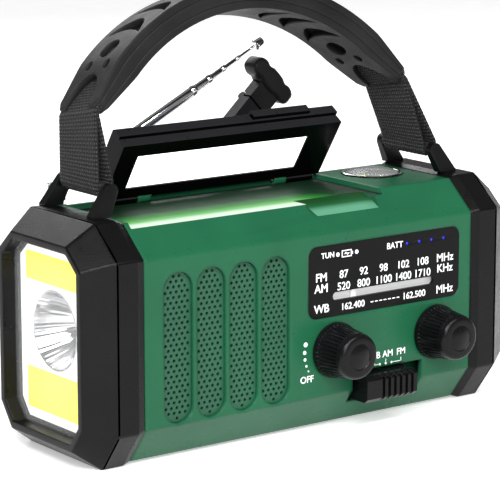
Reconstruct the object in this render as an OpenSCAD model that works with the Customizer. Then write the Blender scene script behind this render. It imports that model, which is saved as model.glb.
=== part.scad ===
// Hand-crank emergency radio: octagonal body with end caps, lamp end, flip-up light panel,
// telescopic antenna, crank generator and a carrying handle on webbing straps.
// Millimetres. X runs along the length, the front face looks along -Y, Z is up.
// The origin is under the middle of the body, on the surface it stands on.

/* [Body] */
// Overall length over both end caps
body_len = 205; // [190:1:220]
// Half of the depth over the end caps
cap_half = 36.2; // [35:0.1:38]
// Height over the end caps
cap_top = 92.2; // [90:0.1:96]
// Half width of the flat top
top_flat = 22; // [20:0.5:24]
// Half width of the flat bottom
bottom_flat = 25; // [22:0.5:27]
// Height of the upper chamfers
upper_drop = 12.4; // [10:0.1:14]
// Height of the lower chamfers
lower_rise = 14.9; // [12:0.1:17]
// Length of each end cap
cap_len = 23.5; // [20:0.5:28]
// How far the body shell is set in from the caps
shell_inset = 1.2; // [0.8:0.1:2]
// Wall thickness of the shells and caps
wall = 2.4; // [2:0.1:3]

/* [Light panel] */
// Width of the flip-up panel
panel_w = 104.5; // [90:0.5:110]
// Depth of the panel from its hinge side to its free edge
panel_d = 27.5; // [24:0.5:32]
// Thickness of the panel
panel_t = 9.4; // [8:0.2:11]
// How far the panel stands open from its closed place, in degrees
panel_open = 57; // [30:1:80]

/* [Knobs] */
// Height of both knob axes above the base
knob_z = 33; // [30:0.5:38]
// Outer radius of a knob at its skirt
knob_r = 11; // [9:0.5:12]
// Length of a knob from the front face
knob_len = 16; // [12:0.5:20]

/* [Crank] */
// Distance from the crank's shaft to the middle of its grip
crank_len = 97; // [80:1:100]
// Angle of the crank arm above the horizontal, in degrees
crank_angle = 43; // [30:1:60]

/* [Antenna] */
// Angle of the antenna above the horizontal, in degrees
antenna_angle = 27; // [10:1:60]
// Length of each antenna section
section_len = 74; // [60:1:80]

/* [Handle] */
// How far the handle leans back, in degrees
handle_lean = 11; // [0:1:12]
// Width of the grip and the straps
strap_w = 27; // [24:1:30]
// Inner radius of the grip's arch
grip_r = 80; // [70:1:90]
// Thickness of the grip
grip_t = 10.5; // [8:0.5:12]

/* [Hidden] */
$fn = 64;

shell_half = body_len / 2 - cap_len;
front = -(cap_half - shell_inset);
rear = -front;
shell_top = cap_top - shell_inset;
seam_y = top_flat - 0.6;
run = 0.05;
gap = 0.3;

// ---------- sections and extrusion helpers ----------

// A corner pair of the octagon, offset inwards by d: [half width at the flat, height of the lower corner]
function corner(d, flat, rise) =
  let (side = cap_half - flat, slant = sqrt(side * side + rise * rise))
  [flat - d * (slant - side) / rise, rise + d * (slant - rise) / side];

module section(d) {
  up = corner(d, top_flat, upper_drop);
  low = corner(d, bottom_flat, lower_rise);
  side = cap_half - d;
  polygon([[-up[0], cap_top - d], [up[0], cap_top - d], [side, cap_top - up[1]], [side, low[1]],
    [low[0], d], [-low[0], d], [-side, low[1]], [-side, cap_top - up[1]]]);
}

// Extrudes a (Y, Z) outline along X
module along_x(x0, x1) {
  translate([x0, 0, 0]) rotate([90, 0, 90]) linear_extrude(x1 - x0) children();
}

// Extrudes an (X, Z) outline along Y
module along_y(y0, y1) {
  translate([0, y1, 0]) rotate([90, 0, 0]) linear_extrude(y1 - y0) children();
}

// A cylinder along Y
module rod_y(x, z, y0, y1, r) {
  translate([x, y1, z]) rotate([90, 0, 0]) cylinder(r = r, h = y1 - y0);
}

// A cylinder along X
module rod_x(y, z, x0, x1, r) {
  translate([x0, y, z]) rotate([0, 90, 0]) cylinder(r = r, h = x1 - x0);
}

module block(x0, x1, y0, y1, z0, z1) {
  translate([x0, y0, z0]) cube([x1 - x0, y1 - y0, z1 - z0]);
}

// A rectangle with round corners, drawn from its exact parts
module round_rect(x0, x1, z0, z1, r) {
  translate([x0 + r, z0]) square([x1 - x0 - 2 * r, z1 - z0]);
  translate([x0, z0 + r]) square([x1 - x0, z1 - z0 - 2 * r]);
  for (x = [x0 + r, x1 - r], z = [z0 + r, z1 - r]) translate([x, z]) circle(r);
}

// ---------- body shells ----------

tray_x = [-77, 42];
tray_back = 19.4;
tray_z = shell_top - 2;
tray_floor_t = 2;
notch_x = [4, 38];
notch_back = -15;
notch_slope = 0.3;

grille_x = [for (i = [0:3]) -63.8 + 15 * i];
grille_z = [15.7, 73];
grille_w = 13.1;
grille_deep = 1.5;

window_x = [-3.3, 72.9];
window_z = [46.1, 74.5];
window_r = 4;
window_t = 1.4;
dial_hole_x = [3, 66];
dial_hole_z = [51.2, 71.6];

volume_x = 9.5;
tuning_x = 60.5;
shaft_r = 3;

switch_x = [18.8, 54];
switch_z = [9.8, 22.4];
switch_back = -28;

wall_in = front + wall;

module tray_cut() {
  front_edge = -30;
  block(tray_x[0], tray_x[1], front_edge, tray_back, tray_z, shell_top + 1);
  intersection() {
    along_x(notch_x[0], notch_x[1])
      polygon([[notch_back, tray_z + 0.01], [front_edge, tray_z + (front_edge - notch_back) * notch_slope],
        [front_edge, shell_top + 1], [notch_back, shell_top + 1]]);
    linear_extrude(shell_top + 2)
      polygon([[notch_x[0] - 6, notch_back], [notch_x[1] + 2, notch_back], [notch_x[1] - 2, front_edge],
        [notch_x[0] + 3, front_edge]]);
  }
}

module shell_tube() {
  difference() {
    along_x(-shell_half, shell_half) section(shell_inset);
    difference() {
      along_x(-shell_half - 1, shell_half + 1) section(shell_inset + wall);
      block(tray_x[0] - wall, tray_x[1] + wall, front, tray_back + wall,
        tray_z - tray_floor_t, shell_top);
      along_x(notch_x[0] - 2, notch_x[1] + 2)
        polygon([[notch_back, tray_z - 2], [-31, tray_z - 7], [-31, shell_top], [notch_back, shell_top]]);
    }
  }
}

module front_shell() {
  color("darkgreen") difference() {
    shell_tube();
    block(-body_len, body_len, seam_y, 50, -1, 120);
    tray_cut();
    for (x = grille_x)
      along_y(front - 1, wall_in + 1)
        round_rect(x - grille_w / 2, x + grille_w / 2, grille_z[0], grille_z[1], grille_w / 2 - 0.01);
    along_y(front - 1, front + window_t)
      round_rect(window_x[0], window_x[1], window_z[0], window_z[1], window_r);
    block(dial_hole_x[0], dial_hole_x[1], front, wall_in + 1, dial_hole_z[0], dial_hole_z[1]);
    for (x = [volume_x, tuning_x]) rod_y(x, knob_z, front - 1, wall_in + 1, shaft_r + 0.4);
    block(switch_x[0], switch_x[1], front - 2, switch_back, switch_z[0], switch_z[1]);
    translate([compass[0], compass[1], compass_floor]) cylinder(r = compass_r, h = 20);
    for (x = knuckle_x) {
      rod_x(hinge[0], hinge[1], x - gap, x + knuckle_len + gap, knuckle_r + gap);
      block(x - gap, x + knuckle_len + gap, hinge[0] - knuckle_r, hinge[0] + knuckle_r + gap, hinge[1], shell_top + 1);
    }
    for (x = pin_x) rod_x(hinge[0], hinge[1], x, x + pin_len, pin_r);
  }
  color("darkgreen") for (x = lug_x) difference() {
    union() {
      rod_x(hinge[0], hinge[1], x, x + lug_len, lug_r);
      block(x, x + lug_len, hinge[0] - 1, tray_back, tray_z, hinge[1]);
    }
    rod_x(hinge[0], hinge[1], x - 1, x + lug_len + 1, pin_r);
  }
}

module rear_cover() {
  color("darkgreen") difference() {
    union() {
      intersection() {
        difference() {
          along_x(-shell_half, shell_half) section(shell_inset);
          along_x(-shell_half - 1, shell_half + 1) section(shell_inset + wall);
        }
        block(-body_len, body_len, seam_y, 50, -1, 120);
      }
      rod_y(crank_axis[0], crank_axis[1], rear - 7, rear, 7);
      rod_y(crank_axis[0], crank_axis[1], rear, rear + 1.6, 11);
      for (p = screw_points) rod_y(p[0], p[1], rear - 10, rear - 1, 3.4);
    }
    rod_y(crank_axis[0], crank_axis[1], rear - 8, rear + 2, crank_shaft_r + run);
    for (p = screw_points) {
      rod_y(p[0], p[1], rear - 11, rear + 1, screw_r);
      rod_y(p[0], p[1], rear - 1.6, rear + 1, screw_head_r + 0.2);
    }
    for (x = button_x) rod_y(x, button_z, rear - 4, rear + 1, button_r + gap);
    translate([mast[0], mast[1], mast_z[0]]) cylinder(r = mast_r, h = mast_z[1] - mast_z[0]);
  }
}

module base_pad() {
  color("black") along_x(-72, 72) polygon([[-18, 0], [18, 0], [18, shell_inset], [-18, shell_inset]]);
}

// ---------- end caps ----------

bevel_len = 10.8;
bevel_inset = 7.8;
inner_bevel = 3.6;
rim_w = 2.8;
lamp_deep = 7;
lamp_face_t = 2;

module cap_outer() {
  band_in = body_len / 2 - bevel_len;
  hull() {
    along_x(body_len / 2 - 0.01, body_len / 2) section(bevel_inset);
    along_x(band_in - 0.01, band_in) section(0);
  }
  along_x(shell_half + inner_bevel, band_in) section(0);
  hull() {
    along_x(shell_half + inner_bevel - 0.01, shell_half + inner_bevel) section(0);
    along_x(shell_half, shell_half + 0.01) section(shell_inset);
  }
}

lamp_z = 48.6;
lamp_r = 15;
flood_top_z = [65.4, 76.6];
flood_low_z = [15.6, 32];
flood_half = 20.5;
flood_inset = 13.6;

module left_cap() {
  color("dimgray") mirror([1, 0, 0]) difference() {
    cap_outer();
    along_x(body_len / 2 - lamp_deep, body_len / 2 + 1) section(bevel_inset + rim_w);
    along_x(shell_half - 1, body_len / 2 - lamp_deep - lamp_face_t) section(shell_inset + wall);
    along_x(80, 100) section(bevel_inset + rim_w + 1.6);
  }
}

port_floor = 2;

module right_cap() {
  color("dimgray") difference() {
    cap_outer();
    along_x(body_len / 2 - port_floor, body_len / 2 + 1) section(bevel_inset + rim_w);
    along_x(shell_half - 1, body_len / 2 - bevel_len) section(shell_inset + wall);
    along_x(80, body_len / 2 - port_floor - wall) section(bevel_inset + rim_w);
    along_x(80, 110) round_rect(port_y[0], port_y[1], port_z[0], port_z[1], 3);
  }
}

// ---------- lamp end ----------

face_x = -(body_len / 2 - lamp_deep);

module lamp_face() {
  color("white") difference() {
    union() {
      along_x(face_x, face_x + lamp_face_t) section(bevel_inset + rim_w + 1.7);
      along_x(face_x + lamp_face_t, face_x + lamp_face_t + 2.2) section(bevel_inset - 1);
    }
    rod_x(0, lamp_z, face_x - 1, face_x + 10, lamp_r);
    intersection() {
      for (z = [flood_top_z, flood_low_z]) block(face_x - 1, face_x + 1.2, -flood_half, flood_half, z[0], z[1]);
      along_x(face_x - 2, face_x + 2) section(flood_inset);
    }
  }
}

module lamp_reflector() {
  deep = 15;
  neck = 3.2;
  skin = 1.1;
  steps = 8;
  bowl = [for (i = [0:steps]) [neck + (lamp_r - 0.1 - skin - neck) * i / steps, deep * (1 - pow(i / steps, 2))]];
  color("silver") translate([face_x, 0, lamp_z]) rotate([0, 90, 0]) rotate_extrude()
    polygon(concat(bowl, [for (i = [steps:-1:0]) bowl[i] + [skin, i == steps ? 0 : skin]], [[neck, deep + skin]]));
}

module lamp_led() {
  color("yellow") {
    block(face_x + 16.2, face_x + 17.8, -6, 6, lamp_z - 6, lamp_z + 6);
    rod_x(0, lamp_z, face_x + 13.5, face_x + 16.2, 2.2);
  }
}

module flood_panels() {
  color("yellow") intersection() {
    for (z = [flood_top_z, flood_low_z])
      block(face_x + 0.2, face_x + 1.2, -flood_half + 0.2, flood_half - 0.2, z[0] + 0.2, z[1] - 0.2);
    along_x(face_x - 2, face_x + 2) section(flood_inset + 0.2);
  }
}

module lamp_lens() {
  color("lightblue", 0.3) along_x(face_x - 1.5, face_x - 0.3) section(bevel_inset + rim_w);
}

// ---------- speaker ----------

speaker_x = -41.3;
speaker_z = 44.3;
speaker_r = 27;

module speaker_grille() {
  color("seagreen") {
    for (x = grille_x)
      along_y(front + grille_deep, wall_in)
        round_rect(x - grille_w / 2 + 0.1, x + grille_w / 2 - 0.1, grille_z[0] + 0.1, grille_z[1] - 0.1,
          grille_w / 2 - 0.11);
    along_y(wall_in, wall_in + 0.8)
      round_rect(grille_x[0] - 8, grille_x[3] + 8, grille_z[0] + 0.8, grille_z[1] + 2, 6);
  }
}

module spin_y(x, y, z) {
  translate([x, y, z]) rotate([-90, 0, 0]) rotate_extrude() children();
}

module speaker_basket() {
  color("gray") {
    spin_y(speaker_x, wall_in + 0.8, speaker_z)
      polygon([[speaker_r - 3, 0], [speaker_r, 0], [speaker_r, 3], [speaker_r - 3, 4], [13, 12], [13, 13.5],
        [7, 13.5], [7, 12], [11.5, 11], [speaker_r - 3, 2]]);
    rod_y(speaker_x, speaker_z, wall_in + 14, wall_in + 22, 12);
  }
}

module speaker_cone() {
  color("black") spin_y(speaker_x, wall_in + 0.8, speaker_z)
    polygon([[0, 6.2], [5, 6.6], [speaker_r - 3.2, 1], [speaker_r - 3.2, 1.5], [6.8, 7.6], [6.8, 11.6], [6, 11.6],
      [6, 8], [0, 7.2]]);
}

// ---------- dial ----------

slot_x = [8.6, 59.6];
slot_z = [52.4, 55.6];
pointer_x = 19.9;
light_z = 70.4;
charge_x = [45.9, 52.2, 58.5, 64.8];
status_x = [10.8, 20.1];

module dial_window() {
  color("black") difference() {
    along_y(front, front + window_t)
      round_rect(window_x[0] + 0.1, window_x[1] - 0.1, window_z[0] + 0.1, window_z[1] - 0.1, window_r);
    along_y(front - 1, front + 3) round_rect(slot_x[0], slot_x[1], slot_z[0], slot_z[1], 1.59);
    for (x = concat(charge_x, status_x)) rod_y(x, light_z, front - 1, front + 3, 0.8);
  }
}

module dial_plate() {
  color("gray") block(dial_hole_x[0] + 0.3, dial_hole_x[1] - 0.3, wall_in - 0.1, wall_in + 0.9, 51.6, 67);
}

module tuning_pointer() {
  color("white") {
    block(pointer_x - 1.2, pointer_x + 1.2, front + window_t + 0.1, wall_in - 0.3, 51.8, 60);
  }
}

module indicator_lights() {
  color("blue") for (x = concat(charge_x, status_x)) {
    rod_y(x, light_z, front + 0.2, front + window_t + 0.1, 0.7);
    rod_y(x, light_z, front + window_t + 0.1, wall_in + 3, 1.1);
  }
}

// ---------- controls ----------

board_y = -20;
board_t = 1.6;

module knob(x) {
  color("black") difference() {
    union() {
      spin_y(x, front - knob_len, knob_z)
        polygon([[0, 0.7], [4.6, 0.7], [4.6, 0], [knob_r - 2.6, 0], [knob_r - 1.6, 1], [knob_r - 0.6, knob_len - 3],
          [knob_r, knob_len - 2.4], [knob_r, knob_len - gap], [0, knob_len - gap]]);
      rod_y(x, knob_z, front - 4, wall_in + 5, shaft_r);
    }
    for (a = [0:15:345])
      translate([x, front - knob_len + 2, knob_z]) rotate([0, a, 0])
        translate([knob_r - 1.3, 0, -0.6]) cube([2, knob_len - 6, 1.2]);
  }
}

module volume_knob() knob(volume_x);

module tuning_knob() knob(tuning_x);

module volume_control() {
  color("silver") difference() {
    rod_y(volume_x, knob_z, wall_in + 0.6, board_y, 8);
    rod_y(volume_x, knob_z, wall_in, wall_in + 6, shaft_r + run);
  }
}

module tuning_capacitor() {
  color("ivory") difference() {
    block(tuning_x - 10, tuning_x + 10, wall_in + 0.6, board_y, knob_z - 10, knob_z + 10);
    rod_y(tuning_x, knob_z, wall_in, wall_in + 6, shaft_r + run);
  }
}

slider_w = 25.4;
slider_x = 20.2;
slider_z = [10.8, 21.4];
slider_front = -42.4;

module band_slider() {
  color("black") {
    difference() {
      along_x(slider_x, slider_x + slider_w)
        polygon([[-31, slider_z[0]], [slider_front + 2, slider_z[0]], [slider_front, slider_z[0] + 1.6],
          [slider_front, slider_z[1] - 1.6], [slider_front + 2, slider_z[1]], [-31, slider_z[1]]]);
      for (i = [0:5])
        block(slider_x + 7.6 + i * 2.9, slider_x + 9 + i * 2.9, slider_front - 1, slider_front + 1.4, 0, 40);
    }
    block(slider_x + 10, slider_x + 14, -31, switch_back + 1.6, 14, 18);
  }
}

module band_switch() {
  color("gray") difference() {
    block(switch_x[0] + 4, switch_x[1] - 2, switch_back + 0.4, board_y, 11, 21);
    block(slider_x + 9.4, slider_x + 21, switch_back - 1, switch_back + 3, 13.4, 18.6);
  }
}

module circuit_board() {
  color("green") block(-3, 76, board_y, board_y + board_t, 8, 80);
}

// ---------- power ----------

cell_r = 9.2;
cell_len = 65.2;
cell_x = 11.5;
cell_y = [-7.6, 11.4];
cell_z = [18, 36.8];

module battery_cells() {
  color("steelblue") for (y = cell_y, z = cell_z) rod_x(y, z, cell_x, cell_x + cell_len, cell_r);
}

module battery_cradle() {
  rib_t = 3;
  color("dimgray") difference() {
    for (x = [cell_x + 6, cell_x + cell_len - 6 - rib_t])
      block(x, x + rib_t, cell_y[0] - cell_r + 1, cell_y[1] + cell_r - 1, shell_inset + wall, cell_z[1]);
    for (y = cell_y, z = cell_z) rod_x(y, z, cell_x, cell_x + cell_len, cell_r);
  }
}

module port_block() {
  x1 = body_len / 2 - port_floor - 0.2;
  color("silver") {
    difference() {
      union() {
        block(88, x1, port_y[0] + 0.6, port_y[1] - 0.6, port_z[0] + 0.6, port_z[1] - 0.6);
        block(94, body_len / 2 - port_floor - wall, port_y[0] - 3, port_y[1] + 3, port_z[0] - 3, port_z[1] + 3);
      }
      block(90, 110, usb_y - 6.3, usb_y + 6.3, port_mid - 2.6, port_mid + 2.6);
      block(93, 110, usb_c_y - 2.9, usb_c_y + 2.9, port_mid - 1.5, port_mid + 1.5);
      for (y = [-2.9, 2.9]) rod_x(usb_c_y + y, port_mid, 93, 110, 1.5);
      rod_x(jack_y, port_mid, 89.5, 110, jack_r);
    }
    block(89.9, x1 - 0.8, usb_y - 5.2, usb_y + 5.2, port_mid + 0.4, port_mid + 2.2);
  }
}

port_y = [-21, 21];
port_z = [36, 52];
port_mid = 44;
usb_y = -10;
usb_c_y = 5;
jack_y = 15;
jack_r = 1.8;
flap_top = port_z[1] + 1.6;

module port_cover() {
  x0 = body_len / 2 - port_floor + 0.1;
  color("black") along_x(x0, x0 + 1.6) round_rect(port_y[0] - 1.6, port_y[1] + 1.6, port_z[0] - 1.6, flap_top, 3);
}

// ---------- light panel ----------

panel_x = [-62.8, -62.8 + panel_w];
hinge = [18.6, 91.1];
hinge_drop = 1.5;
hinge_back = 1.42;
pin_r = 1.25;
knuckle_r = 2.2;
knuckle_len = 13;
knuckle_x = [panel_x[0] + 3, panel_x[1] - 3 - knuckle_len];
lug_r = 2.2;
lug_len = 6;
lug_x = [knuckle_x[0] + knuckle_len + gap, knuckle_x[1] - lug_len - gap];
pin_len = knuckle_len + lug_len + 1.5;
pin_x = [knuckle_x[0] - 1, knuckle_x[1] + knuckle_len + 1 - pin_len];
diffuser_x = [panel_x[0] + 8.5, panel_x[1] - 14.5];
diffuser_s = [5.2, 21.6];

// Carries the closed panel to its open place
module opened() {
  translate([0, hinge[0], hinge[1]]) rotate([-panel_open, 0, 0]) translate([0, -hinge[0], -hinge[1]]) children();
}

module light_panel() {
  under = hinge[1] - hinge_drop;
  back = hinge[0] - hinge_back;
  lip = 1.6;
  color("black") opened() difference() {
    union() {
      along_x(panel_x[0], panel_x[1])
        polygon([[back, under], [back - panel_d, under], [back - panel_d, under + panel_t * 0.45],
          [back - panel_d - lip, under + panel_t * 0.45], [back - panel_d - lip, under + panel_t - 1],
          [back - panel_d - lip + 1, under + panel_t], [back, under + panel_t]]);
      block(0, 28, back - panel_d - lip - 1.6, back - panel_d, under + panel_t * 0.55, under + panel_t - 0.6);
      for (x = knuckle_x) {
        rod_x(hinge[0], hinge[1], x, x + knuckle_len, knuckle_r);
        block(x, x + knuckle_len, back - 2, hinge[0], hinge[1], hinge[1] + knuckle_r);
      }
    }
    rod_x(hinge[0], hinge[1], -100, 100, pin_r + run);
    for (x = lug_x) rod_x(hinge[0], hinge[1], x - gap, x + lug_len + gap, lug_r + gap);
    block(diffuser_x[0], diffuser_x[1], back - diffuser_s[1], back - diffuser_s[0], under - 1, under + 5);
    block(panel_x[0] + 3, panel_x[1] - 3, back - panel_d + 1.5, back - 3, under + panel_t - 1.2, under + panel_t + 1);
  }
}

module light_diffuser() {
  under = hinge[1] - hinge_drop;
  back = hinge[0] - hinge_back;
  color("white") opened()
    block(diffuser_x[0] + 0.1, diffuser_x[1] - 0.1, back - diffuser_s[1] + 0.1, back - diffuser_s[0] - 0.1,
      under + 0.5, under + 3);
}

module solar_cell() {
  under = hinge[1] - hinge_drop;
  back = hinge[0] - hinge_back;
  color("navy") opened()
    block(panel_x[0] + 3.1, panel_x[1] - 3.1, back - panel_d + 1.6, back - 3.1, under + panel_t - 1.2,
      under + panel_t - 0.2);
}

module panel_hinge_pins() {
  color("silver") for (x = pin_x) rod_x(hinge[0], hinge[1], x, x + pin_len, pin_r);
}

// ---------- compass ----------

compass = [62, 7];
compass_r = 12.5;
compass_floor = shell_top - 5;
card_pivot_r = 0.8;

module compass_housing() {
  color("black") translate([compass[0], compass[1], compass_floor]) difference() {
    cylinder(r = compass_r - 0.1, h = 5.4);
    translate([0, 0, 1.2]) difference() {
      cylinder(r = compass_r - 1.4, h = 10);
      cylinder(r = card_pivot_r, h = 2.2);
    }
  }
}

module compass_card() {
  color("white") translate([compass[0], compass[1], compass_floor + 2]) difference() {
    cylinder(r = compass_r - 2.2, h = 0.8);
    translate([0, 0, -1]) cylinder(r = card_pivot_r + run, h = 3);
  }
}

module compass_dome() {
  dome_r = 30;
  color("lightblue", 0.4) translate([compass[0], compass[1], compass_floor + 4]) difference() {
    intersection() {
      cylinder(r = compass_r - 1.5, h = 4);
      translate([0, 0, 3.6 - dome_r]) sphere(dome_r, $fn = 96);
    }
    translate([0, 0, 2.4 - dome_r]) sphere(dome_r, $fn = 96);
  }
}

// ---------- crank and generator ----------

crank_axis = [-35, 60];
crank_shaft_r = 2.5;
arm_y = [rear + 3, rear + 9];
arm_w = 11.6;
grip_w = 24;
grip_d = 10;
gear_y = [24, 27.6];
idler_y = [18.6, 22.4];
module_mm = 0.8;
crank_teeth = 48;
pinion_teeth = 12;
idler_teeth = 36;
rotor_teeth = 12;
idler_dir = -60;
rotor_dir = 0;
idler_dist = module_mm * (crank_teeth + pinion_teeth) / 2;
rotor_dist = module_mm * (idler_teeth + rotor_teeth) / 2;
idler_axis = crank_axis + idler_dist * [cos(idler_dir), sin(idler_dir)];
rotor_axis = idler_axis + rotor_dist * [cos(rotor_dir), sin(rotor_dir)];
axle_r = 1.5;

// Involute: the point at roll angle a from a base circle of radius b
function involute(b, a) = [b * (cos(a) + a * PI / 180 * sin(a)), b * (sin(a) - a * PI / 180 * cos(a))];
function roll(b, r) = sqrt(max(0, pow(r / b, 2) - 1)) * 180 / PI;
function turn(p, a) = [p[0] * cos(a) - p[1] * sin(a), p[0] * sin(a) + p[1] * cos(a)];

module gear_outline(teeth) {
  pressure = 20;
  backlash = 0.2;
  pitch = module_mm * teeth / 2;
  base = pitch * cos(pressure);
  tip = pitch + module_mm * 0.7;
  root = pitch - module_mm * 1.2;
  start = max(base, root);
  lean = tan(pressure) * 180 / PI - pressure;
  half = 90 / teeth - backlash / pitch * 90 / PI + lean;
  steps = 4;
  flank = [for (i = [0:steps]) turn(involute(base, roll(base, start + (tip - start) * i / steps)), -half)];
  tooth = concat([turn([root, 0], -half - 0.01)], flank,
    [for (i = [steps:-1:0]) [flank[i][0], -flank[i][1]]], [turn([root, 0], half + 0.01)]);
  polygon([for (k = [0:teeth - 1]) for (p = tooth) turn(p, 360 * k / teeth)]);
}

// A gear along Y, turned by a
module gear_y_axis(axis, y0, y1, teeth, a) {
  translate([axis[0], y1, axis[1]]) rotate([90, 0, 0]) rotate([0, 0, a]) linear_extrude(y1 - y0) gear_outline(teeth);
}

module crank_shaft() {
  color("silver") rod_y(crank_axis[0], crank_axis[1], gear_y[0] - 1, arm_y[1] - 1, crank_shaft_r);
}

module crank_gear() {
  color("ivory") difference() {
    union() {
      gear_y_axis(crank_axis, gear_y[0], gear_y[1], crank_teeth, idler_dir);
      rod_y(crank_axis[0], crank_axis[1], gear_y[0], gear_y[1] + 0.2, 6);
    }
    rod_y(crank_axis[0], crank_axis[1], 0, 60, crank_shaft_r);
    for (a = [0:60:300])
      translate([crank_axis[0], 0, crank_axis[1]]) rotate([0, a, 0]) rod_y(11.5, 0, 0, 60, 3.4);
  }
}

module idler_gear() {
  color("ivory") difference() {
    union() {
      gear_y_axis(idler_axis, gear_y[0], gear_y[1], pinion_teeth, idler_dir + 180 + 180 / pinion_teeth);
      gear_y_axis(idler_axis, idler_y[0], idler_y[1], idler_teeth, rotor_dir);
      rod_y(idler_axis[0], idler_axis[1], idler_y[1], gear_y[0], 3.4);
    }
    rod_y(idler_axis[0], idler_axis[1], 0, 60, axle_r + run);
  }
}

module gear_plate() {
  x0 = crank_axis[0] - 24;
  x1 = rotor_axis[0] + 13;
  color("gray") difference() {
    union() {
      block(x0, x1, 15.4, 17.4, 22, 66);
      rod_y(idler_axis[0], idler_axis[1], 17.4, gear_y[1] + 1, axle_r);
      rod_y(idler_axis[0], idler_axis[1], 17.4, idler_y[0] - gap, 3);
      for (x = [x0 + 2, x1 - 2], z = [24, 64]) rod_y(x, z, 17.4, rear - wall, 2);
    }
    rod_y(rotor_axis[0], rotor_axis[1], 15, 18, 4);
  }
}

module generator() {
  color("silver") difference() {
    rod_y(rotor_axis[0], rotor_axis[1], 1.4, 15.4, 13);
    rod_y(rotor_axis[0], rotor_axis[1], 2.6, 14.2, 10);
    rod_y(rotor_axis[0], rotor_axis[1], 14, 16, 1 + run);
  }
}

module generator_rotor() {
  color("orange") {
    rod_y(rotor_axis[0], rotor_axis[1], 3.2, 13.6, 8.6);
    rod_y(rotor_axis[0], rotor_axis[1], 13.6, idler_y[1] + 0.4, 1);
    gear_y_axis(rotor_axis, idler_y[0], idler_y[1], rotor_teeth, rotor_dir + 180 + 180 / rotor_teeth);
  }
}

// Places children drawn along +X from the crank's shaft
module along_crank() {
  translate([crank_axis[0], 0, crank_axis[1]]) rotate([0, -crank_angle, 0]) children();
}

arm_mid = (arm_y[0] + arm_y[1]) / 2;
fold_at = crank_len - 12;
fold_r = 1.7;
fold_pin_r = 0.8;
third = arm_w / 3;

// A cylinder across the crank at its fold, between two heights across the arm
module fold_rod(z0, z1, r) {
  translate([fold_at, arm_y[1], z0]) cylinder(r = r, h = z1 - z0);
}

module crank_arm() {
  color("dimgray") along_crank() {
    difference() {
      union() {
        block(0, fold_at - 0.4, arm_y[0], arm_y[1], -arm_w / 2, arm_w / 2);
        rod_y(0, 0, arm_y[0] - 1, arm_y[1], 9);
        for (z = [-arm_w / 2, arm_w / 2 - third]) fold_rod(z, z + third, fold_r);
      }
      rod_y(0, 0, 0, arm_y[1] - 1, crank_shaft_r);
      fold_rod(-third / 2 - gap, third / 2 + gap, fold_r + gap);
    }
    fold_rod(-arm_w / 2 + 1, arm_w / 2 - 1, fold_pin_r);
  }
}

module crank_knob() {
  color("dimgray") along_crank() difference() {
    union() {
      block(fold_at + 0.4, crank_len - 2, arm_y[0], arm_y[1], -arm_w / 2, arm_w / 2);
      fold_rod(-third / 2, third / 2, fold_r);
    }
    for (z = [-arm_w / 2 - 1, third / 2]) fold_rod(z, z + third + 1, fold_r + gap);
    fold_rod(-arm_w, arm_w, fold_pin_r + run);
    grip_bar(0);
  }
}

// The grip's bar across the end of the crank, grown by d
module grip_bar(d) {
  r = grip_d / 2 - 0.6;
  translate([crank_len, arm_mid, 2]) {
    translate([0, 0, r - grip_w / 2]) cylinder(r = r + d, h = grip_w - 2 * r);
    for (s = [-1, 1]) translate([0, 0, s * (grip_w / 2 - r)]) sphere(r + d);
  }
}

module crank_grip() {
  color("black") along_crank() grip_bar(0);
}

// ---------- antenna ----------

mast = [-74, 32.5];
mast_r = 4.4;
mast_z = [76, 89];
elbow_z = 95;
tube_r = [2.3, 1.8, 1.35, 0.95, 0.6];
reach = [0, 9, 17, 25, 33];

module antenna_base() {
  color("black") difference() {
    translate([mast[0], mast[1], mast_z[0]]) cylinder(r = mast_r, h = mast_z[1] - mast_z[0]);
    translate([mast[0], mast[1], 80]) cylinder(r = 2 + run, h = 20);
  }
}

module antenna_swivel() {
  color("silver") difference() {
    union() {
      translate([mast[0], mast[1], 80.5]) cylinder(r = 2, h = 9);
      translate([mast[0], mast[1], 89.2]) cylinder(r = 3.4, h = 2);
      block(mast[0] - 2.4, mast[0] + 2.4, mast[1] - 3.4, mast[1] - 1.5, 91.2, elbow_z + 2.4);
      block(mast[0] - 2.4, mast[0] + 2.4, mast[1] + 1.5, mast[1] + 3.4, 91.2, elbow_z + 2.4);
    }
    rod_y(mast[0], elbow_z, mast[1] - 2, mast[1] + 2, 1.1);
  }
}

// Places children drawn along +X from the elbow
module along_antenna() {
  translate([mast[0], mast[1], elbow_z]) rotate([0, -antenna_angle, 0]) children();
}

// Section i: a tube with its far end at section_len plus its reach, each shorter than the one that holds it
module antenna_rod(i) {
  end = section_len + reach[i];
  start = end - section_len + 4.5 + 3 * i;
  difference() {
    rod_x(0, 0, start, end, tube_r[i]);
    if (i < 4) rod_x(0, 0, start + 2, end + 1, tube_r[i + 1] + run);
  }
}

module antenna_tube() {
  color("silver") along_antenna() {
    antenna_rod(0);
    block(-2.2, 5.5, -1.3, 1.3, -1.8, 1.8);
    rod_y(0, 0, -1.95, 1.95, 1.05);
  }
}

module antenna_section_2() color("silver") along_antenna() antenna_rod(1);

module antenna_section_3() color("silver") along_antenna() antenna_rod(2);

module antenna_section_4() color("silver") along_antenna() antenna_rod(3);

module antenna_tip() color("silver") along_antenna() {
  antenna_rod(4);
  rod_x(0, 0, section_len + reach[4], section_len + reach[4] + 4, tube_r[0]);
}

// ---------- handle ----------

bracket_x = 84;
bar = [78.5, 3.5, 101.5];
bar_r = 2.2;
arm_half = strap_w / 2 + 0.6;

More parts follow.
